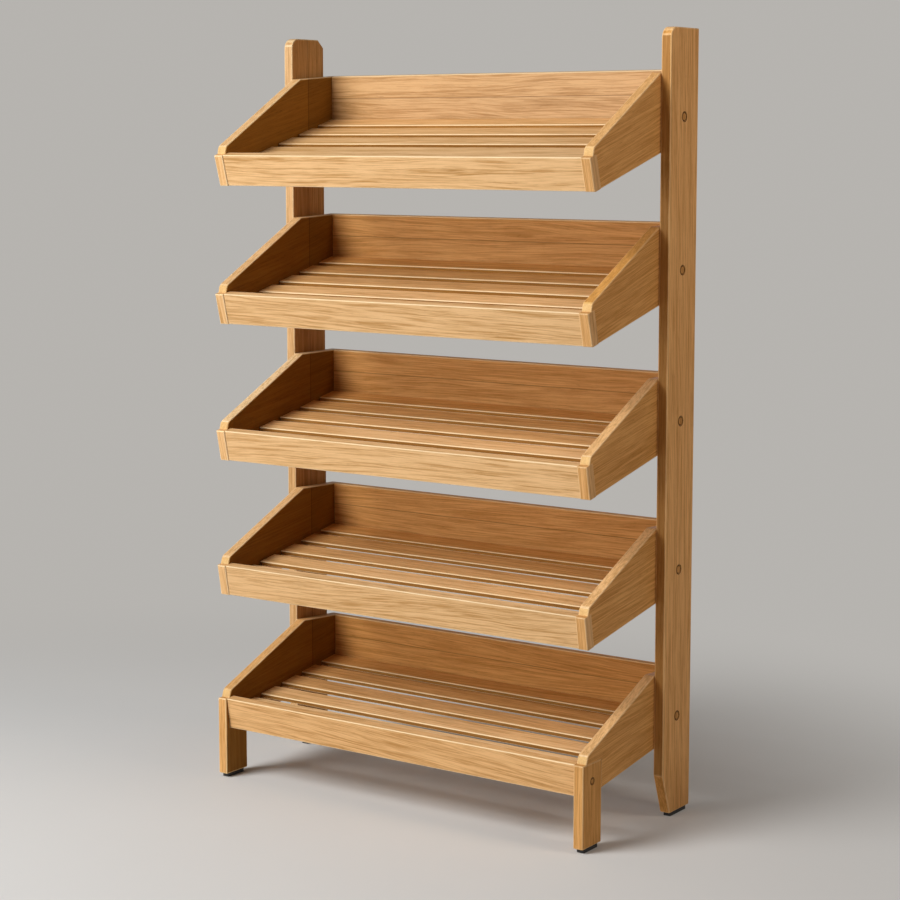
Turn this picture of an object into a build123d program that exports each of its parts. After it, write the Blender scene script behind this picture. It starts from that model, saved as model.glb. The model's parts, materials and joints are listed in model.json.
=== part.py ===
"""Bakery display rack: two rear posts, five tilted slatted trays and two front legs.

Millimetres, +Z up, floor at Z = 0, front towards -Y, X = 0 midway between the posts.
Each tray is drawn flat in its own coordinates (u back, v up, origin at its screw) and
then turned about that screw to its own tilt. The kinks of the side panels and the back
boards stay upright: the kinks in the plane of the posts' fronts, the boards behind the posts.
"""
import os
from math import cos, radians, sin

from build123d import *

# Overall sizes
rack_height = 1500.0
tray_width = 870.0
board = 21.0

# Rear posts
post_depth = 105.0
post_top_round = 20.0
post_taper_height = 80.0
post_taper_depth = 28.0
left_post_clip_y = 18.0
left_post_clip_z = 16.0

# Trays: screws above the floor and below the post top, tilts from the top tray down, tray box
lowest_screw_z = 196.0
top_screw_drop = 164.0
top_tilt = 16.0
tilt_step = 2.0
tray_count = 5
rail_front_u = -308.0
tray_bottom_v = -51.0
rail_height = 63.0

# Side panel outline
nose_setback = 8.0
nose_lean = 7.3
nose_rise = 14.0
nose_round = 7.0
kink_v = 92.0
rear_top_v = 66.5
kink_round = 10.0

# Slatted floor
slat_top_v = -14.0
slat_width = 46.0
slat_thickness = 9.0
slat_count = 5
slat_end_gap = 1.0
front_floor_gap = 16.0
rear_floor_gap = 1.5
cleat_width = 20.0
cleat_height = 20.0
cleat_end_gap = 1.0

# End blocks and front legs
block_proud = 2.0
leg_depth = 65.0
leg_proud = 2.8
leg_plug_drop = 34.5
lap_stop = 10.5
pad_height = 8.0
pad_side_inset = 2.5
pad_end_inset = 8.0

# Fixings
fit = 0.3
plug_radius = 9.0
plug_ring = 0.6
plug_recess = 0.5
plug_thickness = 5.0
screw_radius = 3.0
screw_head_radius = 6.5
screw_head_height = 4.5
screw_bite = 15.0
leg_plug_radius = 6.5
leg_plug_thickness = 4.0
leg_screw_radius = 2.0
leg_screw_head_radius = 4.0
leg_screw_head_height = 3.0
leg_screw_length = 9.0

# Eased edges
edge_break = 1.5
slat_edge_break = 1.2

# Points closer together than this count as one
same = 0.01

# Values that follow from the ones above
outer_x = tray_width / 2
inner_x = outer_x - board
post_outer_x = outer_x + board
rail_top_v = tray_bottom_v + rail_height
rail_back_u = rail_front_u + board
block_front_u = rail_front_u - block_proud
block_back_u = block_front_u + board
slat_bottom_v = slat_top_v - slat_thickness
cleat_bottom_v = slat_bottom_v - cleat_height
tray_pitch = (rack_height - top_screw_drop - lowest_screw_z) / (tray_count - 1)
tilts = [top_tilt - tilt_step * i for i in range(tray_count)]
screw_heights = [lowest_screw_z + tray_pitch * (tray_count - 1 - i) for i in range(tray_count)]
lowest = tray_count - 1
sides = {"left": -1, "right": 1}

# Upright planes that all the trays share, as distances behind the screws
kink_behind = -post_depth / 2
back_front_behind = post_depth / 2
rear_behind = back_front_behind + board


def reach(index, u, v):
    """Distance behind the screw of a point given in a tray's own coordinates."""
    turn = radians(tilts[index])
    return u * cos(turn) - v * sin(turn)


def upright_u(index, behind, v):
    """Tray coordinate u, at height v, of the upright plane a distance behind the screws."""
    turn = radians(tilts[index])
    return (behind + v * sin(turn)) / cos(turn)


def floor_rear_u(v):
    """Rear limit at height v for the floor pieces, which are alike in every tray."""
    return min(upright_u(index, back_front_behind, v) for index in range(tray_count))


slats_depth = floor_rear_u(slat_bottom_v) - rail_back_u - front_floor_gap - rear_floor_gap
slat_pitch = (slats_depth - slat_width) / (slat_count - 1)

# The rack stands centred over Y = 0, from the front of the legs to the rear of the trays
front_reach = reach(lowest, rail_front_u, rail_top_v) - leg_proud
screw_y = -(front_reach + rear_behind) / 2
post_front_y = screw_y - post_depth / 2
post_back_y = screw_y + post_depth / 2


def tray_place(index):
    """Location that carries a piece from tray coordinates to the rack."""
    return Pos(0, screw_y, screw_heights[index]) * Rot(tilts[index], 0, 0)


def rack_point(index, u, v):
    """Rack (y, z) of a point given in a tray's own coordinates."""
    turn = radians(tilts[index])
    return (screw_y + reach(index, u, v), screw_heights[index] + u * sin(turn) + v * cos(turn))


def prism(points, x_from, x_to):
    """Solid with the given (y, z) outline between two X planes."""
    outline = Plane.YZ * make_face(Polyline(*points, close=True))
    return extrude(Pos(min(x_from, x_to), 0, 0) * outline, amount=abs(x_to - x_from), dir=(1, 0, 0))


def beam(x_from, x_to, y_from, y_to, z_from, z_to):
    """Rectangular solid between the given planes."""
    return Pos((x_from + x_to) / 2, (y_from + y_to) / 2, (z_from + z_to) / 2) * Box(
        abs(x_to - x_from), abs(y_to - y_from), abs(z_to - z_from)
    )


def rod(x_from, x_to, y, z, radius):
    """Round solid along X between two planes."""
    return Pos((x_from + x_to) / 2, y, z) * Rot(0, 90, 0) * Cylinder(radius, abs(x_to - x_from))


def corner_edges(solid, y, z):
    """Edges along X that pass through the point (y, z)."""
    found = solid.edges().filter_by(Axis.X)
    return [e for e in found if abs(e.center().Y - y) < same and abs(e.center().Z - z) < same]


def long_edges(solid):
    """Edges along X of a board that runs across the rack."""
    return solid.edges().filter_by(Axis.X)


def face_edges(solid, x, keep):
    """Edges lying in the plane X = x whose middle passes the keep test."""
    found = []
    for e in solid.edges():
        box = e.bounding_box()
        if abs(box.min.X - x) < same and abs(box.max.X - x) < same and keep(e @ 0.5):
            found.append(e)
    return found


# Side panels
nose_front_u = rail_front_u + nose_setback
nose_top_u = nose_front_u + nose_lean
nose_top_v = rail_top_v + nose_rise


def panel_blank(index, front_points, side):
    """Panel outline in tray coordinates, closed by the given front points, corners rounded."""
    kink_u = upright_u(index, kink_behind, kink_v)
    outline = front_points + [
        (nose_top_u, nose_top_v),
        (kink_u, kink_v),
        (upright_u(index, rear_behind, rear_top_v), rear_top_v),
        (upright_u(index, rear_behind, tray_bottom_v), tray_bottom_v),
    ]
    blank = prism(outline, side * inner_x, side * outer_x)
    blank = fillet(corner_edges(blank, nose_top_u, nose_top_v), nose_round)
    return fillet(corner_edges(blank, kink_u, kink_v), kink_round)


def ease_panel(panel, side, bottom_faces):
    """Ease the panel's top edge on both faces and its bottom edge on the faces given."""

    def top(p):
        return p.Z > nose_top_v - nose_round

    def bottom(p):
        return p.Z < tray_bottom_v + same

    edges = face_edges(panel, side * outer_x, top) + face_edges(panel, side * inner_x, top)
    for x in bottom_faces:
        edges += face_edges(panel, side * x, bottom)
    return chamfer(edges, edge_break)


def panel_hole(side):
    """Blind hole in the panel for the end of the post screw."""
    return rod(side * outer_x, side * (outer_x - screw_bite - fit), 0, 0, screw_radius + fit)


def upper_panel(index, side):
    """Panel of one of the four upper trays, notched at the front for the end block."""
    front = [(block_back_u, tray_bottom_v), (block_back_u, rail_top_v), (nose_front_u, rail_top_v)]
    panel = ease_panel(panel_blank(index, front, side), side, [outer_x, inner_x])
    return tray_place(index) * (panel - panel_hole(side))


leg_top_z = rack_point(lowest, rail_front_u, rail_top_v)[1]
leg_front_y = rack_point(lowest, rail_front_u, rail_top_v)[0] - leg_proud
leg_back_y = leg_front_y + leg_depth
half = board / 2


def lowest_panel(side):
    """Panel of the bottom tray: stands on the leg and laps half its thickness behind it."""
    front = [
        (rail_front_u, tray_bottom_v),
        (rail_front_u, rail_top_v - nose_rise),
        (nose_front_u, rail_top_v),
    ]
    ahead = leg_front_y - board
    outer_cut = beam(side * (outer_x - half), side * outer_x, ahead, leg_back_y, pad_height, leg_top_z)
    stop_cut = beam(side * inner_x, side * outer_x, ahead, leg_front_y + lap_stop, pad_height, leg_top_z)
    to_tray = tray_place(lowest).inverse()
    blank = panel_blank(lowest, front, side) - to_tray * outer_cut - to_tray * stop_cut
    return tray_place(lowest) * (ease_panel(blank, side, [outer_x]) - panel_hole(side))


def leg(side, panel):
    """Front leg, its upper inner half cut away for the panel's lap."""
    solid = beam(side * inner_x, side * outer_x, leg_front_y, leg_back_y, pad_height, leg_top_z)
    solid = chamfer(solid.edges().filter_by(Axis.Z), edge_break)
    return solid - panel - leg_fixing_holes(side)


leg_plug_y = leg_front_y + leg_depth / 2
leg_plug_z = leg_top_z - leg_plug_drop
leg_head_x = outer_x - plug_recess - leg_plug_thickness
leg_shank_x = leg_head_x - leg_screw_head_height


def leg_fixing_holes(side):
    """Counterbore and screw hole through the leg's outer half."""
    bore = rod(side * outer_x, side * leg_shank_x, leg_plug_y, leg_plug_z, leg_plug_radius + plug_ring)
    end = leg_shank_x - leg_screw_length - fit
    return bore + rod(side * leg_shank_x, side * end, leg_plug_y, leg_plug_z, leg_screw_radius + fit)


# Posts
plug_face_x = post_outer_x - plug_recess
screw_head_x = plug_face_x - plug_thickness
screw_seat_x = screw_head_x - screw_head_height


def post_outline(clipped):
    """Side outline of a post, top front corner still square."""
    foot_front = post_front_y + post_taper_depth
    outline = [
        (post_back_y, pad_height),
        (foot_front, pad_height),
        (post_front_y, pad_height + post_taper_height),
        (post_front_y, rack_height),
    ]
    if not clipped:
        return outline + [(post_back_y, rack_height)]
    clip_start = (post_back_y - left_post_clip_y, rack_height)
    clip_end = (post_back_y, rack_height - left_post_clip_z)
    return outline + [clip_start, clip_end]


def post(side):
    """Rear post with a counterbored screw hole for every tray."""
    solid = prism(post_outline(side < 0), side * outer_x, side * post_outer_x)
    solid = fillet(corner_edges(solid, post_front_y, rack_height), post_top_round)

    def free(p):
        return p.Z > pad_height + same

    edges = face_edges(solid, side * outer_x, free) + face_edges(solid, side * post_outer_x, free)
    solid = chamfer(edges, edge_break)
    for z in screw_heights:
        solid -= rod(side * post_outer_x, side * screw_seat_x, screw_y, z, plug_radius + plug_ring)
        solid -= rod(side * outer_x, side * post_outer_x, screw_y, z, screw_radius + fit)
    return solid


# Boards across the tray
def front_rail():
    solid = beam(-inner_x, inner_x, rail_front_u, rail_back_u, tray_bottom_v, rail_top_v)
    return chamfer(long_edges(solid), edge_break)


def back_board(index):
    """Upright board behind the slats, its top in line with the panels' top edges."""
    share = (back_front_behind - kink_behind) / (rear_behind - kink_behind)
    front_top_v = kink_v + share * (rear_top_v - kink_v)
    outline = [
        (upright_u(index, back_front_behind, tray_bottom_v), tray_bottom_v),
        (upright_u(index, rear_behind, tray_bottom_v), tray_bottom_v),
        (upright_u(index, rear_behind, rear_top_v), rear_top_v),
        (upright_u(index, back_front_behind, front_top_v), front_top_v),
    ]
    return tray_place(index) * chamfer(long_edges(prism(outline, -inner_x, inner_x)), edge_break)


def slat(number):
    """Slat counted from the front of the tray."""
    front = rail_back_u + front_floor_gap + number * slat_pitch
    end = inner_x - slat_end_gap
    solid = beam(-end, end, front, front + slat_width, slat_bottom_v, slat_top_v)
    top = solid.faces().sort_by(Axis.Z)[-1]
    return chamfer(top.edges().filter_by(Axis.X), slat_edge_break)


def cleat(side):
    """Bearer under the slat ends, fixed along the panel's inner face."""
    u_from = rail_back_u + cleat_end_gap
    u_to = floor_rear_u(cleat_bottom_v) - cleat_end_gap
    x_to = inner_x - cleat_width
    return beam(side * inner_x, side * x_to, u_from, u_to, cleat_bottom_v, slat_bottom_v)


def end_block(side):
    solid = beam(side * inner_x, side * outer_x, block_front_u, block_back_u, tray_bottom_v, rail_top_v)
    front = solid.faces().sort_by(Axis.Y)[0]
    return chamfer(front.edges(), edge_break)


# Fixings
def post_screw(side, z):
    """Screw with a round head, from the post's counterbore into the panel."""
    head = rod(side * screw_head_x, side * screw_seat_x, screw_y, z, screw_head_radius)
    return head + rod(side * screw_seat_x, side * (outer_x - screw_bite), screw_y, z, screw_radius)


def post_plug(side, z):
    return rod(side * plug_face_x, side * screw_head_x, screw_y, z, plug_radius)


def leg_plug(side):
    face_x = outer_x - plug_recess
    return rod(side * face_x, side * leg_head_x, leg_plug_y, leg_plug_z, leg_plug_radius)


def leg_screw(side):
    head = rod(side * leg_head_x, side * leg_shank_x, leg_plug_y, leg_plug_z, leg_screw_head_radius)
    end = leg_shank_x - leg_screw_length
    return head + rod(side * leg_shank_x, side * end, leg_plug_y, leg_plug_z, leg_screw_radius)


def foot_pad(side, x_from, x_to, y_from, y_to):
    """Pad under an upright that spans the given planes, set in on all four sides."""
    x_low = side * (x_from + pad_side_inset)
    x_high = side * (x_to - pad_side_inset)
    return beam(x_low, x_high, y_from + pad_end_inset, y_to - pad_end_inset, 0, pad_height)


def pieces():
    """Every node of the rack by name; a list is a group of separate solids."""
    nodes = {}
    lowest_panels = {name: lowest_panel(side) for name, side in sides.items()}
    for name, side in sides.items():
        nodes[name + "_post"] = post(side)
        nodes["front_" + name + "_leg"] = leg(side, lowest_panels[name])
        nodes["tray_%d_%s_side" % (tray_count, name)] = lowest_panels[name] - leg_fixing_holes(side)
        for index in range(lowest):
            nodes["tray_%d_%s_side" % (index + 1, name)] = upper_panel(index, side)
    rail = front_rail()
    slats = [slat(number) for number in range(slat_count)]
    for index in range(tray_count):
        tray = "tray_%d_" % (index + 1)
        nodes[tray + "front_rail"] = tray_place(index) * rail
        nodes[tray + "back_board"] = back_board(index)
        for number in range(slat_count):
            nodes[tray + "slat_%d" % (number + 1)] = tray_place(index) * slats[number]
    both = list(sides.values())
    every = [(side, index) for index in range(tray_count) for side in both]
    nodes["slat_cleats"] = [tray_place(index) * cleat(side) for side, index in every]
    nodes["end_blocks"] = [tray_place(index) * end_block(side) for side, index in every if index != lowest]
    nodes["post_screws"] = [post_screw(side, screw_heights[index]) for side, index in every]
    nodes["post_plugs"] = [post_plug(side, screw_heights[index]) for side, index in every]
    nodes["leg_screws"] = [leg_screw(side) for side in both]
    nodes["leg_plugs"] = [leg_plug(side) for side in both]
    post_foot_y = post_front_y + post_taper_depth
    pads = [foot_pad(side, outer_x, post_outer_x, post_foot_y, post_back_y) for side in both]
    pads += [foot_pad(side, inner_x, outer_x, leg_front_y, leg_back_y) for side in both]
    nodes["foot_pads"] = pads
    return nodes


os.makedirs("parts", exist_ok=True)
for node, shape in pieces().items():
    if isinstance(shape, list):
        shape = Compound(children=[Part(s.wrapped) if not isinstance(s, Part) else s for s in shape])
    shape.label = node
    export_step(shape, "parts/" + node + ".step")
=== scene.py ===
"""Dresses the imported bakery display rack: oiled oak boards with eased edges, wooden plugs and foot pads.

Metres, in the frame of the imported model: +Z up, floor at Z = 0, front towards -Y. Each tray is drawn
from the middle of its slatted floor: back runs up the slope and up stands square to it.
"""
import json
import math
import random

import bmesh
import bpy
import numpy as np
from bpy.props import FloatProperty, FloatVectorProperty, IntProperty, PointerProperty
from mathutils import Matrix, Vector


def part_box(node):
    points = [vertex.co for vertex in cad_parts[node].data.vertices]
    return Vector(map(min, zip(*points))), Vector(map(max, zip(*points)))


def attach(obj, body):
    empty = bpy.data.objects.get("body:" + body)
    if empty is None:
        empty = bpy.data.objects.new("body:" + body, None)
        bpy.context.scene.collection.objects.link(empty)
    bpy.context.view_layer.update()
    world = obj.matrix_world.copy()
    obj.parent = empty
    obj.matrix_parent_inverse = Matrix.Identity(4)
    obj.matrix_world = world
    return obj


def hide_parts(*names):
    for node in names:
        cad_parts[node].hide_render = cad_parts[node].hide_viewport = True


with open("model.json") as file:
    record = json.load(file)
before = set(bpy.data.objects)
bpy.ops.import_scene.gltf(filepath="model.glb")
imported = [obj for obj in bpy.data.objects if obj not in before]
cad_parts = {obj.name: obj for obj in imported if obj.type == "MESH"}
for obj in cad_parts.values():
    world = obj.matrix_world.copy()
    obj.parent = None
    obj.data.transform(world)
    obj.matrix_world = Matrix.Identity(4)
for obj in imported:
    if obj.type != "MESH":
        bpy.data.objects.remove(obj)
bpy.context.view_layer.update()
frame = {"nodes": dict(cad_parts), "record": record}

bl_info = {
    "name": "Bakery display rack",
    "version": (1, 0, 0),
    "blender": (4, 5, 0),
    "location": "View3D > Sidebar > Rack",
    "description": "Builds the oak pieces of a five-tray bakery display rack around its packed model",
    "category": "Object",
}

SIDES = {"left": -1, "right": 1}
ROOT = "root"
RIGHT = Vector((1, 0, 0))
REAR = Vector((0, 1, 0))
TOP = Vector((0, 0, 1))

# How squarely a face looks one way: flat, mainly on that side, leaning, part of an eased edge, an end cut
FLAT = 0.98
TOWARDS = 0.7
LEANING = 0.6
EDGEWISE = 0.1
END_GRAIN = 0.93

# Fineness of the shapes, and how near counts as touching
HARD_ANGLE = math.radians(15)
FLAT_ANGLE = math.radians(1)
TOUCH = 0.001
CUT_REACH = 0.00001
EDGE_SEGMENTS = 3
CORNER_SEGMENTS = 6
PLUG_SEGMENTS = 40
PATCH_CUTS = 9

# Shares of a radius: the patch a counterbore is cut in, its inset, the rim round it, the slope of a plug
PATCH_REACH = 1.5
PATCH_INSET = 0.2
BORE_REACH = 1.2
CROWN_SLOPE = 0.55
PLUG_LEAN = 25

# Joints, the sides' upright one as a share of a post's depth, and knots: place along and across, strength
NO_GLUE_LINE = 9.0
STILE_SHARE = 0.25
NO_KNOT = (9.0, 9.0, 0.0)
RAIL_KNOTS = {1: (0.13, 0.0, 0.55), 4: (-0.22, 0.012, 0.35)}
BACK_KNOTS = {2: (0.05, 0.097, 0.4), 3: (-0.12, 0.067, 0.4), 5: (0.2, 0.092, 0.35)}

# Wear and painted light of a face: pale above 0, partly worn oak and partly painted highlight; dark below 0
# is painted shade, as on one flat face of some uprights
EDGE_WEAR_AND_HIGHLIGHT = {"left": 1.0, "right": 0.45}
SHADED_POST_FACE = {"left": Vector(), "right": -REAR}
SHADED_LEG_FACE = {"left": RIGHT, "right": Vector()}
PAINTED_FACE_SHADE = -0.35
PAINTED_SIDE_SHADE = -0.30
PAINTED_BORE_SHADE = -1.0
NOSE_WEAR_AND_HIGHLIGHT = 0.8
SIDE_TOP_LIGHT = 0.15
RAIL_TOP_WEAR_AND_HIGHLIGHT = 1.2
SLAT_EDGE_WEAR_AND_HIGHLIGHT = 1.35
SLAT_FRONT_SHADE = -0.45
REAR_SLAT_FRONT_SHADE = -0.35

# Painted light and shade as depth of a face's colour: 1 is plain oak, more is deeper for faces in shade,
# less is paler for lit faces
SLAT_DEPTH = 0.86
SLAT_FRONT_DEPTH = 1.5
SLAT_EDGE_DEPTH = 0.95
PLUG_DEPTH = 1.4
EDGE_DEPTH_SHARE = 0.5

# The same for most faces of a piece, and for those that look one way, painted deeper where less light falls
# on them
POST_DEPTH = {"left": (1.0, 1.25, RIGHT), "right": (1.20, 1.42, -REAR)}
LEG_DEPTH = {"left": (1.2, 1.7, RIGHT), "right": (1.28, 1.38, RIGHT)}
SIDE_DEPTH = {"left": (1.35, 1.85, RIGHT), "right": (1.35, 1.35, RIGHT)}
BLOCK_DEPTH = {"left": (1.0, 1.0, RIGHT), "right": (1.17, 1.07, RIGHT)}

# Painted light and shade by piece: depth and brightness, from the top tray down where there are five; lower
# backs and rear slats are painted darker, as in the shade of the tray above
SIDE_TOP_DEPTH = {"left": (1.04, 1.04, 0.80, 1.04, 1.20), "right": (1.20, 1.50, 1.04, 1.04, 1.04)}
RAIL_DEPTH = (0.94, 0.94, 0.94, 0.94, 1.05)
BACK_DEPTH = (1.04, 1.29, 1.29, 1.29, 1.36)
BACK_TONE = (0.80, 0.98, 1.01, 1.04, 1.07)
REAR_SLAT_SHADE_STEP = (0.05, 0.12, 0.12, 0.12, 0.12)
POST_TONE = {"left": 0.78, "right": 1.10}
SIDE_TONE = {"left": 0.90, "right": 1.05}

# Marks of the oak: how often they come in a metre along, across and through a board
MARKS = {
    "sway": (1.3, 9.0, 9.0),
    "ripple": (5.0, 50.0, 50.0),
    "figure": (2.1, 15.0, 15.0),
    "streak": (1.3, 60.0, 60.0),
    "line": (4.5, 200.0, 200.0),
    "fibre": (13.0, 460.0, 460.0),
    "pore": (70.0, 1300.0, 1300.0),
    "cloud": (2.2, 9.0, 9.0),
    "rubbing": (9.0, 60.0, 60.0),
}
RING_WIDTH = 0.0030
RING_SPREAD = 0.0014
KNOT_LENGTH = 0.085
KNOT_HEIGHT = 0.013
SEAM = (0.0004, 0.0012)

# Stage: each lamp's place, size, watts and tint, and where the lit floor fades into the backdrop
LAMPS = {
    "key": ((-1.68, -3.16, 3.64), 2.8, 188, (1.0, 1.0, 0.98)),
    "low": ((-2.11, -3.97, 1.70), 2.2, 76, (1.0, 1.0, 0.98)),
    "fill": ((2.6, 0.2, 2.2), 1.2, 19, (1.0, 0.85, 0.71)),
}
LAMP_AIM = Vector((0.0, 0.0, 0.75))
AMBIENT = 0.07
FLOOR_REACH = 40
LIT_SPOT = (-0.25, -0.45, 0.0)
LIT_FADE = (0.6, 2.1)
CAMERA_PLACE = (2.4438, -3.4996, 1.2972)
CAMERA_TILT = math.radians(90 - 6.954)
CAMERA_TURN = math.radians(34.847)

post_low, post_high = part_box("right_post")
leg_low, leg_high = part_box("front_right_leg")


def length(name, description, default):
    """A size that a user would change."""
    return FloatProperty(
        name=name, description=description, default=default, unit="LENGTH", subtype="DISTANCE", precision=4
    )


def colour(name, description, default):
    """A colour that a user would change, in linear light."""
    return FloatVectorProperty(
        name=name, description=description, default=default, subtype="COLOR", size=3, min=0.0, max=1.0
    )


class RackSizes(bpy.types.PropertyGroup):
    """Sizes of the visible pieces. Heights and depths of a tray are from the middle of its floor."""

    tray_count: IntProperty(name="Trays", description="Trays from top to bottom", default=5)
    slat_count: IntProperty(name="Slats", description="Floor slats of a tray", default=5)
    inner_side: length("Inner face of side", "Middle of the rack to a side's inner face", leg_low.x)
    outer_side: length("Outer face of side", "Middle of the rack to a side's outer face", post_low.x)
    outer_post: length("Outer face of post", "Middle of the rack to a post's outer face", post_high.x)
    board: length("Board thickness", "Thickness of posts, legs, sides, rails and backs", 0.021)
    post_top_round: length("Post top round", "Radius at the top front corner of a post", 0.020)
    post_taper_height: length("Foot taper height", "Height of the sloping front of a post's foot", 0.080)
    post_taper_depth: length("Foot taper depth", "How far the foot runs back at the floor", 0.028)
    clip_depth: length("Left post clip depth", "Depth of the left post's clipped top rear corner", 0.018)
    clip_height: length("Left post clip height", "Height of the left post's clipped top rear corner", 0.016)
    screw_depth: length("Screw behind middle", "Post screw behind the middle of the slatted floor", 0.11224)
    screw_rise: length("Screw above floor", "Post screw above the slatted floor", 0.014)
    rail_front: length("Rail front", "Front of the rail ahead of the middle of the floor", 0.19576)
    tray_bottom: length("Tray bottom", "Bottom of the tray below the slats' top", 0.037)
    rail_top: length("Rail top", "Top of the rail above the slats", 0.026)
    board_end_gap: length("Board end gap", "Gap between the end of a rail or back and the side", 0.0003)
    back_joint: length("Back joint", "Glue line of a back board above its bottom", 0.080)
    block_proud: length("Block proud", "End block ahead of the rail", 0.002)
    block_face: length("Block face", "How far back the eased front edges of a block reach", 0.003)
    nose_setback: length("Nose setback", "Foot of the side's nose behind the rail front", 0.008)
    nose_lean: length("Nose lean", "How far the nose leans back", 0.0073)
    nose_rise: length("Nose rise", "Top of the nose above the rail", 0.014)
    nose_round: length("Nose round", "Corner length at the top of the nose", 0.0055)
    kink_rise: length("Kink height", "Highest point of a side above the slats", 0.106)
    kink_round: length("Kink round", "Corner length at the highest point of a side", 0.0022)
    rear_rise: length("Rear height", "Rear corner of a side above the slats", 0.0805)
    slat_width: length("Slat width", "Width of a floor slat", 0.046)
    slat_pitch: length("Slat pitch", "From one slat's middle to the next", 0.06788)
    slat_thickness: length("Slat thickness", "Thickness of a floor slat", 0.009)
    slat_end_gap: length("Slat end gap", "Gap between a slat's end and the side", 0.001)
    cleat: length("Cleat", "Width and height of the bearer under the slat ends", 0.020)
    cleat_end_gap: length("Cleat end gap", "Gap between a cleat's end and the rail or back", 0.001)
    lap_stop: length("Lap stop", "Solid strip at the front of a leg's lap", 0.0105)
    plug_radius: length("Post plug radius", "Radius of a post's wooden plug", 0.009)
    leg_plug_radius: length("Leg plug radius", "Radius of a leg's wooden plug", 0.0065)
    leg_plug_drop: length("Leg plug drop", "Leg plug below the top of the leg", 0.0345)
    plug_gap: length("Plug gap", "Gap round a plug", 0.0006)
    plug_recess: length("Plug recess", "Plug face below the board's face", 0.0005)
    plug_thickness: length("Plug thickness", "Thickness of a post's wooden plug", 0.005)
    plug_crown: length("Plug crown", "Rise of a plug's middle above its rim", 0.0003)
    pad_side_inset: length("Pad side inset", "Pad inside the upright's faces", 0.0025)
    pad_end_inset: length("Pad end inset", "Pad inside the upright's front and back", 0.008)
    pad_round: length("Pad round", "Corner length of a pad", 0.0025)
    pad_lip: length("Pad lip", "Width of the lip round a pad's top", 0.0012)
    eased: length("Eased edge", "Radius of a hand-eased edge", 0.0022)
    rubbed: length("Rubbed edge", "Radius at the top front of rails and slats, where goods slide", 0.0018)
    slat_eased: length("Slat edge", "Radius of a slat's other edges", 0.0010)
    plug_rim: length("Plug rim", "Radius at the rim of a plug", 0.0024)
    tight: length("Tight edge", "Radius of an edge that meets another board", 0.0005)


class RackColours(bpy.types.PropertyGroup):
    """Colours of the finishes and the stage, in linear light."""

    pale_wood: colour("Pale wood", "Early growth of the oak", (0.800, 0.480, 0.220))
    deep_wood: colour("Deep wood", "Late growth of the oak", (0.465, 0.225, 0.059))
    # Pores: also the colour that the painted shade on dark faces and rims turns to
    pore: colour("Pores", "Open pores and the dark line of a glued joint", (0.150, 0.068, 0.014))
    # Pale edge: worn oak and painted highlight on the eased edges
    pale_edge_colour: colour("Worn edge", "Oak where an eased edge has been handled", (0.960, 0.740, 0.445))
    steel: colour("Steel", "Screws", (0.560, 0.550, 0.530))
    pad: colour("Pad", "Foot pads", (0.018, 0.016, 0.015))
    floor: colour("Floor", "Studio floor", (0.660, 0.656, 0.655))
    backdrop: colour("Backdrop", "What shows beyond the floor", (0.470, 0.454, 0.431))


class Term:
    """A shader value that takes part in Python arithmetic: each operation adds one Math node."""

    def __init__(self, shade, socket):
        self.shade = shade
        self.socket = socket

    def __add__(self, other):
        return self.shade.math("ADD", self, other)

    def __sub__(self, other):
        return self.shade.math("SUBTRACT", self, other)

    def __rsub__(self, other):
        return self.shade.math("SUBTRACT", other, self)

    def __mul__(self, other):
        return self.shade.math("MULTIPLY", self, other)

    def __truediv__(self, other):
        return self.shade.math("DIVIDE", self, other)

    def __gt__(self, other):
        return self.shade.math("GREATER_THAN", self, other)

    __radd__ = __add__
    __rmul__ = __mul__


class Shade:
    """One node tree: node() adds any node, and the other methods are short ways to the common ones."""

    def __init__(self, tree):
        self.tree = tree
        tree.nodes.clear()

    def node(self, kind, settings, sockets):
        """Adds a node: its settings are set first, then its sockets get a value or a link."""
        made = self.tree.nodes.new(kind)
        for name, value in settings.items():
            setattr(made, name, value)
        for key, value in sockets.items():
            if isinstance(value, Term):
                self.tree.links.new(value.socket, made.inputs[key])
            else:
                made.inputs[key].default_value = value
        return made

    def out(self, made, key=0):
        return Term(self, made.outputs[key])

    def math(self, operation, *values):
        return self.out(self.node("ShaderNodeMath", {"operation": operation}, dict(enumerate(values))))

    def vector(self, operation, sockets, key="Vector"):
        return self.out(self.node("ShaderNodeVectorMath", {"operation": operation}, sockets), key)

    def step(self, value, low, high, to_low=0.0, to_high=1.0):
        """Smooth change from one level to another."""
        sockets = {"Value": value, "From Min": low, "From Max": high, "To Min": to_low, "To Max": to_high}
        return self.out(self.node("ShaderNodeMapRange", {"interpolation_type": "SMOOTHSTEP"}, sockets))

    def split(self, vector):
        parts = self.node("ShaderNodeSeparateXYZ", {}, {"Vector": vector})
        return [self.out(parts, axis) for axis in range(3)]

    def join(self, x, y, z):
        return self.out(self.node("ShaderNodeCombineXYZ", {}, {"X": x, "Y": y, "Z": z}))

    def attribute(self, name):
        return self.out(self.node("ShaderNodeAttribute", {"attribute_name": name}, {}), "Vector")

    def place(self):
        """Object coordinates, which are the rack's own."""
        return self.out(self.node("ShaderNodeTexCoord", {}, {}), "Object")

    def noise(self, vector, stretch, detail=2.0, roughness=0.5):
        """Noise stretched by a scale for each axis."""
        scaled = self.vector("MULTIPLY", {0: vector, 1: stretch})
        sockets = {"Vector": scaled, "Scale": 1.0, "Detail": detail, "Roughness": roughness}
        return self.out(self.node("ShaderNodeTexNoise", {}, sockets))

    def blend(self, factor, first, second):
        """Colour between two colours."""
        mixed = self.node("ShaderNodeMix", {"data_type": "RGBA"}, {0: factor, 6: first, 7: second})
        return self.out(mixed, 2)

    def finish(self, made, kind="ShaderNodeOutputMaterial"):
        """Puts a shader on the tree's output."""
        self.node(kind, {}, {"Surface": self.out(made)})


def solid(colour_value):
    """Colour with its alpha."""
    return (*colour_value, 1.0)


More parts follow.
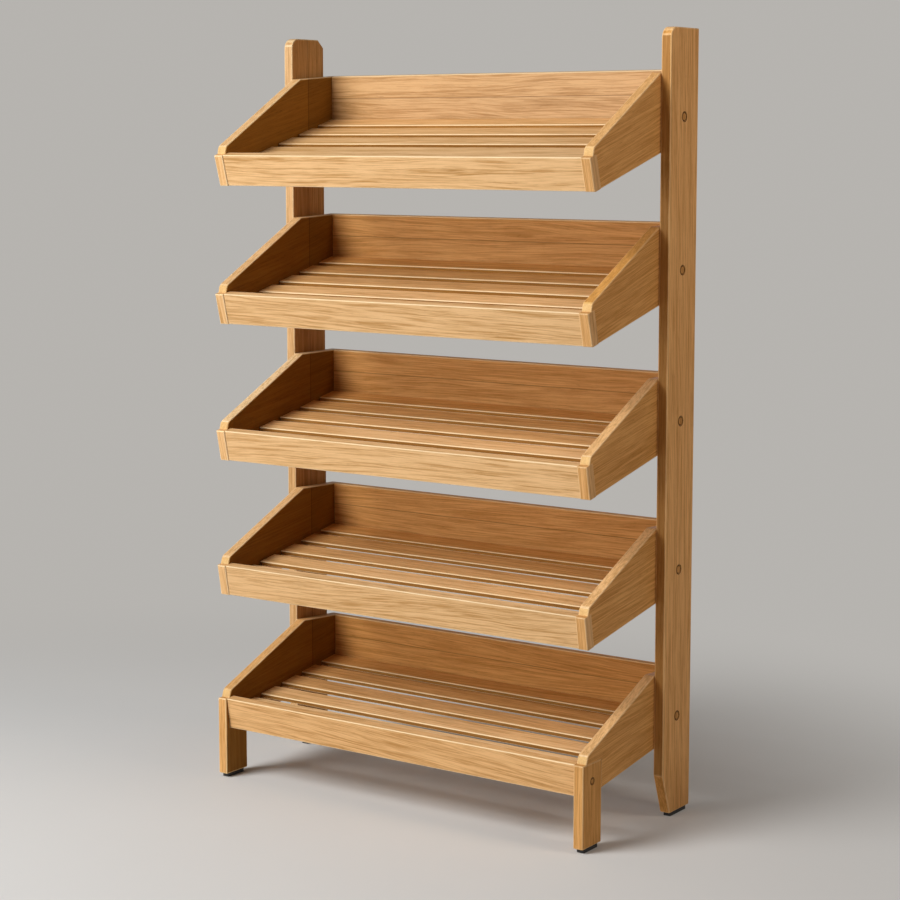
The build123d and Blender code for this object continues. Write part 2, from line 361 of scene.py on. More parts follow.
def new_material(name):
    material = bpy.data.materials.new(name)
    material.use_nodes = True
    return material, Shade(material.node_tree)


def surface(shade, sockets):
    """Principled surface on the tree's output."""
    shade.finish(shade.node("ShaderNodeBsdfPrincipled", {}, sockets))


def oak_material(colours):
    """Oiled oak: fine lines, faint rings about a tilted heart, pores, knots, glue lines, worn edges and
    painted light and shade.
    """
    shade = new_material("oiled_oak")[1]
    pale = solid(colours.pale_wood)
    dark = solid(colours.deep_wood)
    black = solid(colours.pore)
    along, across, through = shade.split(shade.attribute("grain"))
    seed, tone, glue_line = shade.split(shade.attribute("board"))
    heart_across, heart_depth, heart_drift = shade.split(shade.attribute("heart"))
    knot_along, knot_across, knot_size = shade.split(shade.attribute("knot"))
    wear_and_painted_light, end_cut, rich = shade.split(shade.attribute("cut"))
    plumb_joint = shade.split(shade.attribute("joint"))[0]
    rack_depth = shade.split(shade.place())[1]
    ring_width = shade.math("FRACT", seed * 7.77) * RING_SPREAD + RING_WIDTH

    # The stave above a glue line has grain of its own
    above = across > glue_line
    stave = seed + above * 17.3

    def own_place(height):
        return shade.join(along + stave * 3.1, height + stave * 1.7, through + stave * 0.9)

    rough_place = own_place(across)
    sway = shade.noise(rough_place, MARKS["sway"]) - 0.5
    ripple = shade.noise(rough_place, MARKS["ripple"], roughness=0.55) - 0.5

    # Lines sway, lean a little and bend round a knot
    from_knot_along = (along - knot_along) / KNOT_LENGTH
    from_knot_across = (across - knot_across) / KNOT_HEIGHT
    knot_distance = from_knot_along * from_knot_along + from_knot_across * from_knot_across
    knot = shade.math("EXPONENT", knot_distance * -1.0) * knot_size
    knot_core = shade.math("EXPONENT", knot_distance * -14.0) * knot_size
    slope = (shade.math("FRACT", stave * 3.33) - 0.5) * 0.07
    bent = across - from_knot_across * knot * 0.014
    place = own_place(bent + sway * 0.050 + ripple * 0.005 + along * slope)

    # Growth rings about the heart of the tree, faint where the board is cut flat
    drift = along * heart_drift
    rise = through + heart_depth + drift * 0.6
    spread = across - heart_across - drift + above * 0.021
    radius = shade.math("SQRT", spread * spread + rise * rise)
    wandered = radius + sway * 0.030 + ripple * 0.0016 + knot * 0.006
    ring = shade.math("FRACT", wandered / ring_width)
    late = shade.step(ring, 0.15, 0.85) * shade.step(ring, 0.86, 1.0, 1.0, 0.0)
    shown = shade.step(shade.noise(rough_place, MARKS["figure"]), 0.40, 0.68)
    flat_sawn = shade.math("MINIMUM", end_cut, 0.0) * 0.7 + 1.0
    figure = late * (shown * 0.70 + 0.30) * flat_sawn

    streak = shade.step(shade.noise(place, MARKS["streak"]), 0.34, 0.68)
    line = shade.step(shade.noise(place, MARKS["line"]), 0.40, 0.62)
    fibre = shade.step(shade.noise(place, MARKS["fibre"]), 0.42, 0.58)
    pore = shade.step(shade.noise(place, MARKS["pore"], detail=1.0), 0.56, 0.72)
    cloud = shade.noise(rough_place, MARKS["cloud"])

    bands = figure * 0.24 + streak * 0.22 + line * 0.42 + fibre * 0.48
    depth = (bands - 0.65) / (rich * rich) + cloud * 0.24 + 0.20 + knot * 0.20
    wood = shade.blend(depth, pale, dark)
    wood = shade.blend(pore * (line * 0.6 + 0.4) * 0.24, wood, black)
    wood = shade.blend(knot_core * 0.30, wood, black)

    # Glue lines, end grain, then pale edges, partly wear and partly painted highlight, and painted shade on
    # dark faces and rims
    from_line = shade.math("ABSOLUTE", across - glue_line)
    from_joint = shade.math("ABSOLUTE", rack_depth - plumb_joint)
    rear_stave_shade = rack_depth > plumb_joint
    seam = shade.step(shade.math("MINIMUM", from_line, from_joint), *SEAM, 1.0, 0.0)
    wood = shade.blend(seam * 0.45, wood, black)
    wood = shade.blend(end_cut * 0.30, wood, dark)
    patchy = shade.step(shade.noise(rough_place, MARKS["rubbing"], roughness=0.6), 0.25, 0.75, 0.50, 0.75)
    wood = shade.blend(wear_and_painted_light * patchy, wood, solid(colours.pale_edge_colour))
    wood = shade.blend(wear_and_painted_light * -0.85, wood, black)

    # Painted light and shade: faces given more depth are darker and warmer, as wood looks in shade, and
    # those given less are paler
    shade_deepened = shade.out(shade.node("ShaderNodeGamma", {}, {"Color": wood, "Gamma": rich}))
    # Painted shade: the sides are darker behind their upright joint, towards the rear
    shift = tone + (above - 0.5) * 0.05 - rear_stave_shade * 0.15
    shade_warmth = (rich - 1.0) * (rich - 1.0)
    tint = shade.join(1.0 - shade_warmth * 0.15, shade_warmth * 0.06 + 1.0, 1.0 - shade_warmth * 0.5)
    shade_tinted = shade.vector("MULTIPLY", {0: shade_deepened, 1: tint})

    relief = 0.0 - late * 0.2 - line * 0.2 - fibre * 0.25 - pore * 0.6 - seam * 0.8
    bump = shade.node("ShaderNodeBump", {}, {"Strength": 0.30, "Distance": 0.00030, "Height": relief})
    sockets = {
        "Base Color": shade.vector("SCALE", {0: shade_tinted, "Scale": shift}),
        "Roughness": late * 0.06 + fibre * 0.05 + pore * 0.12 + 0.42,
        "Normal": shade.out(bump),
        "Specular IOR Level": 0.08,
        "Coat Weight": shade.step(rich, 1.0, 1.2, 0.25, 0.0),
        "Coat Roughness": 0.35,
    }
    surface(shade, sockets)


def steel_material(colours):
    """Turned steel of the hidden screws."""
    shade = new_material("screw_steel")[1]
    place = shade.place()
    turning = shade.noise(place, (3000.0, 200.0, 200.0))
    dull = shade.noise(place, (120.0, 120.0, 120.0), 3.0, 0.6)
    dark = tuple(c * 0.6 for c in colours.steel)
    sockets = {
        "Base Color": shade.blend(dull, solid(colours.steel), solid(dark)),
        "Metallic": 1.0,
        "Roughness": turning * 0.2 + 0.25,
    }
    surface(shade, sockets)


def pad_material(colours):
    """Moulded rubber of the foot pads, scuffed and dusty in places."""
    shade = new_material("pad_rubber")[1]
    place = shade.place()
    mould = shade.noise(place, (900.0, 900.0, 900.0), roughness=0.6)
    dust = shade.step(shade.noise(place, (70.0, 70.0, 70.0), 3.0, 0.6), 0.45, 0.75)
    grey = tuple(c * 3.5 + 0.01 for c in colours.pad)
    bump = shade.node("ShaderNodeBump", {}, {"Strength": 0.5, "Distance": 0.0004, "Height": mould})
    sockets = {
        "Base Color": shade.blend(dust * 0.6, solid(colours.pad), solid(grey)),
        "Roughness": dust * 0.2 + 0.62,
        "Normal": shade.out(bump),
    }
    surface(shade, sockets)


class Tray:
    """One tray's place: points are given by X, distance back along the slope and height above the slats."""

    def __init__(self, number):
        self.number = number
        self.index = number - 1
        self.name = "tray_%d_" % number
        mounts = {m["name"]: m for m in frame["record"]["mounts"]}
        mount = mounts[self.name + "floor"]
        self.middle = Vector(mount["pos_m"])
        self.up = Vector(mount["axis"]).normalized()
        self.back = self.up.cross(RIGHT)

    def point(self, x, back, up):
        return Vector((x, 0, 0)) + self.middle + self.back * back + self.up * up

    def upright(self, x, y, up):
        """Point at a height above the slats in the upright plane at a depth of the rack."""
        back = (y - self.middle.y - up * self.up.y) / self.back.y
        return self.point(x, back, up)

    def height(self, place):
        return (place - self.middle).dot(self.up)

    def depth(self, place):
        return (place - self.middle).dot(self.back)


def trays(sizes):
    """The trays from top to bottom."""
    return [Tray(number) for number in range(1, sizes.tray_count + 1)]


class Grain:
    """How a board was sawn: its own axes, and figures that make it differ from its neighbours."""

    def __init__(
        self, key, origin, along, across, glue_line=NO_GLUE_LINE, knot=NO_KNOT, heart=0.035, tone=1.0,
        plumb_joint=NO_GLUE_LINE,
    ):
        luck = random.Random(key)
        self.origin = origin
        self.axes = (along, across, along.cross(across))
        self.figures = {
            # Tone: a random spread times the brightness given for the piece, which for some pieces is
            # painted light and shade
            "board": (luck.uniform(0, 40), tone * luck.uniform(0.96, 1.04), glue_line),
            "heart": (luck.uniform(-heart, heart), luck.uniform(0.03, 0.09), luck.uniform(-0.03, 0.03)),
            "knot": knot,
            "joint": (plumb_joint, 0.0, 0.0),
        }


def lay_grain(mesh, grain, wear_and_light, rich):
    """Writes a board's grain to its mesh, and to each face its wear and painted light, and how deep its
    painted shading is.
    """
    places = np.empty(len(mesh.vertices) * 3, np.float32)
    mesh.vertices.foreach_get("co", places)
    axes = np.array(grain.axes)
    local = (places.reshape(-1, 3) - np.array(grain.origin)) @ axes.T
    for name, value in {"grain": local, **grain.figures}.items():
        spread = np.broadcast_to(np.array(value, np.float32), local.shape)
        layer = mesh.attributes.new(name, "FLOAT_VECTOR", "POINT")
        layer.data.foreach_set("vector", np.ascontiguousarray(spread, np.float32).ravel())
    cut = mesh.attributes.new("cut", "FLOAT_VECTOR", "FACE")
    for face in mesh.polygons:
        facing = [abs(face.normal.dot(axis)) for axis in grain.axes]
        end_cut = 1.0 if facing[0] > END_GRAIN else -float(facing[1] > TOWARDS)
        # Eased edges keep only part of the painted shade, so they stand out as painted highlights
        share = EDGE_DEPTH_SHARE if face.material_index else 1.0
        face_shading = 1.0 + (rich(face) - 1.0) * share
        cut.data[face.index].vector = (wear_and_light(face), end_cut, face_shading)


def always(value):
    """A rule that gives the same value for every place or face."""
    return lambda part: value


def shaded_facing(plain, other, way):
    """Painted shade: depth of colour that differs on the faces that look one way."""
    return lambda face: other if face.normal.dot(way) > TOWARDS else plain


def behind_leg(place):
    """Where the lowest sides keep only their inner half."""
    return place.y < leg_high.y and place.z < leg_high.z


def pale_edge(face, share=1.0):
    """Eased faces are made pale: partly worn oak, partly painted highlight."""
    return share * face.material_index


def upright_wear_and_shade(name, shaded_face, in_bore):
    """Wear and painted light of a post or leg: painted shade on one flat face and on the rims of the bores,
    pale edges partly worn and partly painted highlight.
    """

    def wear_and_light(face):
        if face.normal.dot(shaded_face) > FLAT:
            return PAINTED_FACE_SHADE
        if face.material_index and in_bore(face.center):
            return PAINTED_BORE_SHADE
        return pale_edge(face, EDGE_WEAR_AND_HIGHLIGHT[name])

    return wear_and_light


def shaded_plug_rim(face):
    """A plug's rounded rim is dark all round: painted shade of the gap round the plug."""
    return -float(face.material_index)


def settle(bm, name, material, ease):
    """Turns a bmesh into an object whose hard edges are rounded; ease gives the radius at a place."""
    bmesh.ops.recalc_face_normals(bm, faces=bm.faces[:])
    weight = bm.edges.layers.float.new("bevel_weight_edge")
    hard = [edge for edge in bm.edges if edge.calc_face_angle(0.0) > HARD_ANGLE]
    radii = [ease((edge.verts[0].co + edge.verts[1].co) / 2) for edge in hard]
    width = max(radii)
    for edge, radius in zip(hard, radii):
        edge[weight] = radius / width
    blank = bpy.data.meshes.new(name + "_blank")
    bm.to_mesh(blank)
    bm.free()
    blank.materials.append(material)
    blank.materials.append(material)
    blank.shade_smooth()
    piece = bpy.data.objects.new(name, blank)
    bpy.context.scene.collection.objects.link(piece)
    rounding = piece.modifiers.new("Eased edges", "BEVEL")
    rounding.limit_method = "WEIGHT"
    rounding.width = width
    rounding.segments = EDGE_SEGMENTS
    rounding.profile = 0.5
    rounding.material = 1
    rounding.face_strength_mode = "FSTR_ALL"
    evening = piece.modifiers.new("Flat faces stay flat", "WEIGHTED_NORMAL")
    evening.use_face_influence = True
    graph = bpy.context.evaluated_depsgraph_get()
    mesh = bpy.data.meshes.new_from_object(piece.evaluated_get(graph), depsgraph=graph)
    piece.modifiers.clear()
    piece.data = mesh
    bpy.data.meshes.remove(blank)
    mesh.name = name
    if not mesh.polygons:
        raise RuntimeError("no faces were made for " + name)
    return piece


def place_board(bm, name, grain, node, ease, wear_and_light=pale_edge, rich=always(1.0)):
    """Finishes a wooden piece: eased edges, grain, body, replaced node and material slot."""
    piece = settle(bm, name, bpy.data.materials["oiled_oak"], ease)
    lay_grain(piece.data, grain, wear_and_light, rich)
    piece.data.materials.pop(index=1)
    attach(piece, ROOT)
    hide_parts(node)


def outline_face(points, rounds):
    """Flat blank through a few points; rounds gives the corner length of the corners to be rounded."""
    bm = bmesh.new()
    corners = [bm.verts.new(p) for p in points]
    bm.faces.new(corners)
    for index, reach in rounds.items():
        bmesh.ops.bevel(
            bm, geom=[corners[index]], offset=reach, offset_type="OFFSET", segments=CORNER_SEGMENTS,
            profile=0.5, affect="VERTICES", material=-1,
        )
    return bm


def thicken(bm, faces, shift):
    """Extrudes faces by a shift and returns the faces that were carried along."""
    made = bmesh.ops.extrude_face_region(bm, geom=faces)["geom"]
    moved = [g for g in made if isinstance(g, bmesh.types.BMVert)]
    bmesh.ops.translate(bm, verts=moved, vec=shift)
    return [g for g in made if isinstance(g, bmesh.types.BMFace)]


def thicken_in_halves(bm, half, lapped):
    """Extrudes a blank by half its thickness, and by the other half where it isn't lapped."""
    carried = thicken(bm, bm.faces[:], half)
    whole = [f for f in carried if not lapped(f.calc_center_median())]
    thicken(bm, whole, half)
    bmesh.ops.delete(bm, geom=[f for f in whole if f.is_valid], context="FACES_ONLY")
    bmesh.ops.delete(bm, geom=[e for e in bm.edges if e.is_wire], context="EDGES")
    bmesh.ops.dissolve_limit(bm, angle_limit=FLAT_ANGLE, verts=bm.verts[:], edges=bm.edges[:])


def rectangle(corner, across, face_shading):
    return [corner, corner + across, corner + across + face_shading, corner + face_shading]


def bar(corner, along, across, face_shading):
    """Rectangular bar from one corner and its three sides."""
    bm = outline_face(rectangle(corner, across, face_shading), {})
    thicken(bm, bm.faces[:], along)
    return bm


def slice_at(bm, place, normal):
    """Cuts every face along a plane."""
    geometry = bm.verts[:] + bm.edges[:] + bm.faces[:]
    bmesh.ops.bisect_plane(bm, geom=geometry, dist=CUT_REACH, plane_co=place, plane_no=normal)


def face_at(bm, place, outward):
    """The face looking outward that a place lies on."""
    facing = [f for f in bm.faces if f.normal.dot(outward) > FLAT]
    for face in facing:
        if bmesh.geometry.intersect_face_point(face, place):
            return face
    raise RuntimeError("no face to bore")


def sink_bore(bm, centre, radius, depth, outward):
    """Counterbore in a flat outer face: a square patch becomes a circle that is pushed in."""
    reach = radius * PATCH_REACH
    for axis in (TOP, REAR):
        for sign in (-1, 1):
            face = face_at(bm, centre, outward)
            geometry = [face] + face.edges[:] + face.verts[:]
            bmesh.ops.bisect_plane(bm, geom=geometry, plane_co=centre + axis * sign * reach, plane_no=axis)
    patch = face_at(bm, centre, outward)
    bmesh.ops.bisect_edges(bm, edges=patch.edges[:], cuts=PATCH_CUTS)
    bmesh.ops.inset_individual(bm, faces=[patch], thickness=radius * PATCH_INSET, use_even_offset=True)
    first = (patch.verts[0].co - centre).normalized()
    for index, corner in enumerate(patch.verts):
        turn = Matrix.Rotation(math.tau * index / len(patch.verts), 3, patch.normal)
        corner.co = centre + turn @ first * radius
    pushed = bmesh.ops.extrude_discrete_faces(bm, faces=[patch])["faces"]
    bmesh.ops.translate(bm, verts=pushed[0].verts, vec=outward * -depth)


def screw_points(sizes):
    """Where each tray's post screw sits, without its X."""
    return [tray.point(0, sizes.screw_depth, sizes.screw_rise) for tray in trays(sizes)]


def leg_plug_point(sizes):
    return Vector((0, (leg_low.y + leg_high.y) / 2, leg_high.z - sizes.leg_plug_drop))


class RACK_OT_finishes(bpy.types.Operator):
    """Make the oak, steel and rubber"""

    bl_idname = "rack.finishes"
    bl_label = "Finishes"

    def execute(self, context):
        for make in (oak_material, steel_material, pad_material):
            make(context.scene.rack_colours)
        return {"FINISHED"}


class RACK_OT_posts(bpy.types.Operator):
    """Make the two rear posts with their counterbores"""

    bl_idname = "rack.posts"
    bl_label = "Rear posts"

    def execute(self, context):
        sizes = context.scene.rack_sizes
        screws = screw_points(sizes)
        bore = sizes.plug_radius + sizes.plug_gap
        for name, side in SIDES.items():
            low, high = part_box(name + "_post")
            x = side * sizes.outer_side

            def spot(y, z):
                return Vector((x, y, z))

            points = [
                spot(high.y, low.z),
                spot(low.y + sizes.post_taper_depth, low.z),
                spot(low.y, low.z + sizes.post_taper_height),
                spot(low.y, high.z),
            ]
            if side < 0:
                points.append(spot(high.y - sizes.clip_depth, high.z))
                points.append(spot(high.y, high.z - sizes.clip_height))
            else:
                points.append(spot(high.y, high.z))
            bm = outline_face(points, {3: sizes.post_top_round})
            thicken(bm, bm.faces[:], RIGHT * side * sizes.board)
            bmesh.ops.recalc_face_normals(bm, faces=bm.faces[:])
            face_x = RIGHT * side * sizes.outer_post
            for screw in screws:
                sink_bore(bm, screw + face_x, bore, sizes.plug_recess + sizes.plug_thickness, RIGHT * side)

            def in_bore(place):
                inner_face = abs(abs(place.x) - sizes.outer_side) < sizes.board * 0.1
                nearest = min((place - screw - RIGHT * place.x).length for screw in screws)
                return not inner_face and nearest < sizes.plug_radius * BORE_REACH

            def ease(place):
                return sizes.tight if in_bore(place) else sizes.eased

            # Painted shade on the right post's front face, the bore rims and by face; pale edges partly
            # painted highlight
            wear_and_light = upright_wear_and_shade(name, SHADED_POST_FACE[name], in_bore)
            shaded = shaded_facing(*POST_DEPTH[name])
            middle = Vector((x, (low.y + high.y) / 2, 0))
            glue_line = 0.0 if side < 0 else NO_GLUE_LINE
            grain = Grain(name + " post", middle, TOP, REAR, glue_line, heart=0.03, tone=POST_TONE[name])
            node = name + "_post"
            place_board(bm, "wood_" + node, grain, node, ease, wear_and_light, shaded)
        return {"FINISHED"}


def side_outline(sizes, tray, x, front):
    """Side panel's blank in its tray: the given front corners, then the nose, the kink and the rear."""
    nose_back = -sizes.rail_front + sizes.nose_setback + sizes.nose_lean
    rear = post_high.y + sizes.board
    points = front + [
        tray.point(x, nose_back, sizes.rail_top + sizes.nose_rise),
        tray.upright(x, post_low.y, sizes.kink_rise),
        tray.upright(x, rear, sizes.rear_rise),
        tray.upright(x, rear, -sizes.tray_bottom),
    ]
    rounds = {len(front): sizes.nose_round, len(front) + 1: sizes.kink_round}
    return outline_face(points, rounds)


class RACK_OT_sides(bpy.types.Operator):
    """Make the trays' kinked side panels, the lowest pair lapped behind the legs"""

    bl_idname = "rack.sides"
    bl_label = "Tray sides"

    def execute(self, context):
        for tray in trays(context.scene.rack_sizes):
            for name, side in SIDES.items():
                self.make(context.scene.rack_sizes, tray, name, side)
        return {"FINISHED"}

    def make(self, sizes, tray, name, side):
        lowest = tray.number == sizes.tray_count
        x = side * sizes.inner_side
        nose_front = -sizes.rail_front + sizes.nose_setback
        block_back = -sizes.rail_front - sizes.block_proud + sizes.board
        if lowest:
            stop = leg_low.y + sizes.lap_stop
            front = [tray.upright(x, stop, -sizes.tray_bottom), Vector((x, stop, leg_high.z))]
            bm = side_outline(sizes, tray, x, front)
            slice_at(bm, Vector((0, 0, leg_high.z)), TOP)
            slice_at(bm, Vector((0, leg_high.y, 0)), REAR)
        else:
            front = [
                tray.point(x, block_back, -sizes.tray_bottom),
                tray.point(x, block_back, sizes.rail_top),
                tray.point(x, nose_front, sizes.rail_top),
            ]
            bm = side_outline(sizes, tray, x, front)
        thicken_in_halves(bm, RIGHT * side * sizes.board / 2, behind_leg if lowest else always(False))

        def ease(place):
            lap = lowest and place.y < leg_high.y + TOUCH and place.z < leg_high.z + TOUCH
            ahead = tray.depth(place) < block_back + TOUCH
            joint = ahead and tray.height(place) < sizes.rail_top + TOUCH
            return sizes.tight if lap or joint else sizes.eased

        # Painted light and shade: tops set by tray, the left sides' inner faces deepest
        def shaded(face):
            if face.normal.z > LEANING:
                return SIDE_TOP_DEPTH[name][tray.index]
            return shaded_facing(*SIDE_DEPTH[name])(face)

        # Painted highlight and wear on the nose's front, painted shade on the left sides' inner faces, pale
        # edges partly painted highlight, tops painted lighter
        def rubbed(face):
            if face.normal.y < -LEANING and tray.height(face.center) > sizes.rail_top:
                return NOSE_WEAR_AND_HIGHLIGHT
            if side < 0 and face.normal.x > FLAT:
                return PAINTED_SIDE_SHADE
            return max(pale_edge(face, EDGE_WEAR_AND_HIGHLIGHT[name]), SIDE_TOP_LIGHT * (face.normal.z > LEANING))

        origin = tray.middle + RIGHT * x
        tone = SIDE_TONE[name]
        stile = post_low.y + (post_high.y - post_low.y) * STILE_SHARE
        grain = Grain(tray.name + name, origin, tray.back, tray.up, tone=tone, plumb_joint=stile)
        node = tray.name + name + "_side"
        place_board(bm, "wood_" + node, grain, node, ease, rubbed, shaded)


class RACK_OT_legs(bpy.types.Operator):
    """Make the two front legs, their upper inner half cut away for the lowest sides"""

    bl_idname = "rack.legs"
    bl_label = "Front legs"

    def execute(self, context):
        sizes = context.scene.rack_sizes
        tray = Tray(sizes.tray_count)
        low = leg_low
        high = leg_high
        stop = low.y + sizes.lap_stop
        bore = sizes.leg_plug_radius + sizes.plug_gap
        for name, side in SIDES.items():
            x = side * sizes.outer_side
            foot = Vector((x, low.y, low.z))
            bm = outline_face(rectangle(foot, REAR * (high.y - low.y), TOP * (high.z - low.z)), {})
            slice_at(bm, tray.point(x, 0, -sizes.tray_bottom), tray.up)
            slice_at(bm, Vector((x, stop, 0)), REAR)

            def rebated(place):
                return place.y > stop and tray.height(place) > -sizes.tray_bottom

            thicken_in_halves(bm, RIGHT * side * sizes.board / -2, rebated)
            bmesh.ops.recalc_face_normals(bm, faces=bm.faces[:])
            plug = leg_plug_point(sizes) + RIGHT * x
            sink_bore(bm, plug, bore, sizes.plug_recess + sizes.plug_thickness, RIGHT * side)

            def round_plug(place):
                return (place - plug).length < bore * BORE_REACH

            def ease(place):
                inner = abs(place.x) < sizes.outer_side - TOUCH
                lap = inner and place.y > stop - TOUCH and tray.height(place) > -sizes.tray_bottom - TOUCH
                return sizes.tight if lap or round_plug(place) else sizes.eased

            # Painted shade on the left leg's inner face, the plug rim and by face; pale edges partly
            # painted highlight
            wear_and_light = upright_wear_and_shade(name, SHADED_LEG_FACE[name], round_plug)
            shaded = shaded_facing(*LEG_DEPTH[name])
            middle = Vector((x, (low.y + high.y) / 2, 0))
            grain = Grain(name + " leg", middle, TOP, REAR, heart=0.03)
            node = "front_" + name + "_leg"
            place_board(bm, "wood_" + node, grain, node, ease, wear_and_light, shaded)
        return {"FINISHED"}


class RACK_OT_rails(bpy.types.Operator):
    """Make the front rail of each tray"""

    bl_idname = "rack.rails"
    bl_label = "Front rails"

    def execute(self, context):
        sizes = context.scene.rack_sizes
        reach = sizes.inner_side - sizes.board_end_gap
        for tray in trays(sizes):
            corner = tray.point(-reach, -sizes.rail_front, -sizes.tray_bottom)
            tall = tray.up * (sizes.rail_top + sizes.tray_bottom)
            bm = bar(corner, RIGHT * reach * 2, tall, tray.back * sizes.board)

            def ease(place):
                if abs(place.x) > reach - TOUCH:
                    return sizes.tight
                top_front = tray.height(place) > 0 and tray.depth(place) < -sizes.rail_front + TOUCH
                return sizes.rubbed if top_front else sizes.eased

            # Pale edges, the top front one brightest: partly worn where goods slide, partly painted
            # highlight
            def rubbed(face):
                return pale_edge(face, RAIL_TOP_WEAR_AND_HIGHLIGHT if tray.height(face.center) > 0 else 1.0)

            # Painted light and shade: rails paler where they face the lamps, the lowest one deeper
            rail_shading = always(RAIL_DEPTH[tray.index])
            knot = RAIL_KNOTS.get(tray.number, NO_KNOT)
            grain = Grain(tray.name + "rail", tray.middle, RIGHT, tray.up, knot=knot, heart=0.02, tone=0.95)
            node = tray.name + "front_rail"
            place_board(bm, "wood_" + node, grain, node, ease, rubbed, rail_shading)
        return {"FINISHED"}


class RACK_OT_backs(bpy.types.Operator):
    """Make the back board of each tray"""

    bl_idname = "rack.backs"
    bl_label = "Back boards"

    def execute(self, context):
        sizes = context.scene.rack_sizes
        reach = sizes.inner_side - sizes.board_end_gap
        front = post_high.y
        rear = front + sizes.board
        share = (front - post_low.y) / (rear - post_low.y)
        front_rise = sizes.kink_rise + share * (sizes.rear_rise - sizes.kink_rise)

        def ease(place):
            return sizes.tight if abs(place.x) > reach - TOUCH else sizes.eased

        for tray in trays(sizes):
            points = [
                tray.upright(-reach, front, -sizes.tray_bottom),
                tray.upright(-reach, rear, -sizes.tray_bottom),
                tray.upright(-reach, rear, sizes.rear_rise),
                tray.upright(-reach, front, front_rise),
            ]
            bm = outline_face(points, {})
            thicken(bm, bm.faces[:], RIGHT * reach * 2)
            # Painted light and shade on each back, set by tray
            shaded = always(BACK_DEPTH[tray.index])
            tone = BACK_TONE[tray.index]
            knot = BACK_KNOTS.get(tray.number, NO_KNOT)
            origin = points[0] + RIGHT * reach
            grain = Grain(tray.name + "back", origin, RIGHT, TOP, sizes.back_joint, knot, tone=tone)
            node = tray.name + "back_board"
            place_board(bm, "wood_" + node, grain, node, ease, rich=shaded)
        return {"FINISHED"}


class RACK_OT_slats(bpy.types.Operator):
    """Make the floor slats of each tray"""

    bl_idname = "rack.slats"
    bl_label = "Floor slats"

    def execute(self, context):
        sizes = context.scene.rack_sizes
        for tray in trays(sizes):
            for slat in range(sizes.slat_count):
                self.make(sizes, tray, slat)
        return {"FINISHED"}

    def make(self, sizes, tray, slat):
        reach = sizes.inner_side - sizes.slat_end_gap
        rearmost = sizes.slat_count - 1
        middle = (slat - rearmost / 2) * sizes.slat_pitch
        corner = tray.point(-reach, middle - sizes.slat_width / 2, -sizes.slat_thickness)
        wide = tray.back * sizes.slat_width
        bm = bar(corner, RIGHT * reach * 2, wide, tray.up * sizes.slat_thickness)

        def ease(place):
            if abs(place.x) > reach - TOUCH:
                return sizes.tight
            top_front = tray.height(place) > -TOUCH and tray.depth(place) < middle
            return sizes.rubbed if top_front else sizes.slat_eased

        # Painted shade on the flat front faces; pale front edges partly worn and partly painted highlight
        def rubbed(face):
            facing = face.normal.dot(tray.back)
            if facing < -FLAT:
                return REAR_SLAT_FRONT_SHADE if slat == rearmost else SLAT_FRONT_SHADE
            front_edge = tray.number > 1 and facing < -EDGEWISE
            return pale_edge(face, SLAT_EDGE_WEAR_AND_HIGHLIGHT if front_edge else 1.0)

        # Painted light and shade: dark front faces, paler front edges, rear slats darker as in the shade of
        # the tray above
        def shaded(face):
            facing = face.normal.dot(tray.back)
            if facing < -FLAT:
                return SLAT_FRONT_DEPTH
            if facing < -EDGEWISE:
                return SLAT_EDGE_DEPTH
            return SLAT_DEPTH + REAR_SLAT_SHADE_STEP[tray.index] * slat

        node = tray.name + "slat_%d" % (slat + 1)
        grain = Grain(node, tray.point(0, middle, 0), RIGHT, tray.back, heart=0.02)
        place_board(bm, "wood_" + node, grain, node, ease, rubbed, shaded)


class RACK_OT_blocks(bpy.types.Operator):
    """Make the end blocks at the front corners of the upper trays"""

    bl_idname = "rack.blocks"
    bl_label = "End blocks"

    def execute(self, context):
        sizes = context.scene.rack_sizes
        front = -sizes.rail_front - sizes.block_proud
        for tray in trays(sizes)[:-1]:
            for name, side in SIDES.items():
                corner = tray.point(side * sizes.inner_side, front, -sizes.tray_bottom)
                tall = tray.up * (sizes.rail_top + sizes.tray_bottom)
                bm = bar(corner, RIGHT * side * sizes.board, tall, tray.back * sizes.board)

                def ease(place):
                    return sizes.tight if tray.depth(place) > front + sizes.block_face else sizes.eased

                # Pale edges, partly wear and partly painted highlight, weaker on the shaded right
                def rubbed(face):
                    return pale_edge(face, EDGE_WEAR_AND_HIGHLIGHT[name])

                # Painted shade on the right blocks
                shaded = shaded_facing(*BLOCK_DEPTH[name])
                grain = Grain("%s%s block" % (tray.name, name), corner, tray.up, RIGHT * side, heart=0.02)
                piece = "wood_end_block_%d_%s" % (tray.number, name)
                place_board(bm, piece, grain, "end_blocks", ease, rubbed, shaded)
        return {"FINISHED"}


class RACK_OT_cleats(bpy.types.Operator):
    """Make the bearers under the slat ends"""

    bl_idname = "rack.cleats"
    bl_label = "Slat cleats"

    def execute(self, context):
        sizes = context.scene.rack_sizes
        front = -sizes.rail_front + sizes.board + sizes.cleat_end_gap
        low = -sizes.slat_thickness - sizes.cleat
        steepest = Tray(1)
        rear = steepest.depth(steepest.upright(0, post_high.y, low)) - sizes.cleat_end_gap
        for tray in trays(sizes):
            for name, side in SIDES.items():
                corner = tray.point(side * sizes.inner_side, front, low)
                run = tray.back * (rear - front)
                bm = bar(corner, run, tray.up * sizes.cleat, RIGHT * -side * sizes.cleat)
                grain = Grain("%s%s cleat" % (tray.name, name), corner, tray.back, tray.up)
                piece = "wood_cleat_%d_%s" % (tray.number, name)
                place_board(bm, piece, grain, "slat_cleats", always(sizes.slat_eased))
        return {"FINISHED"}


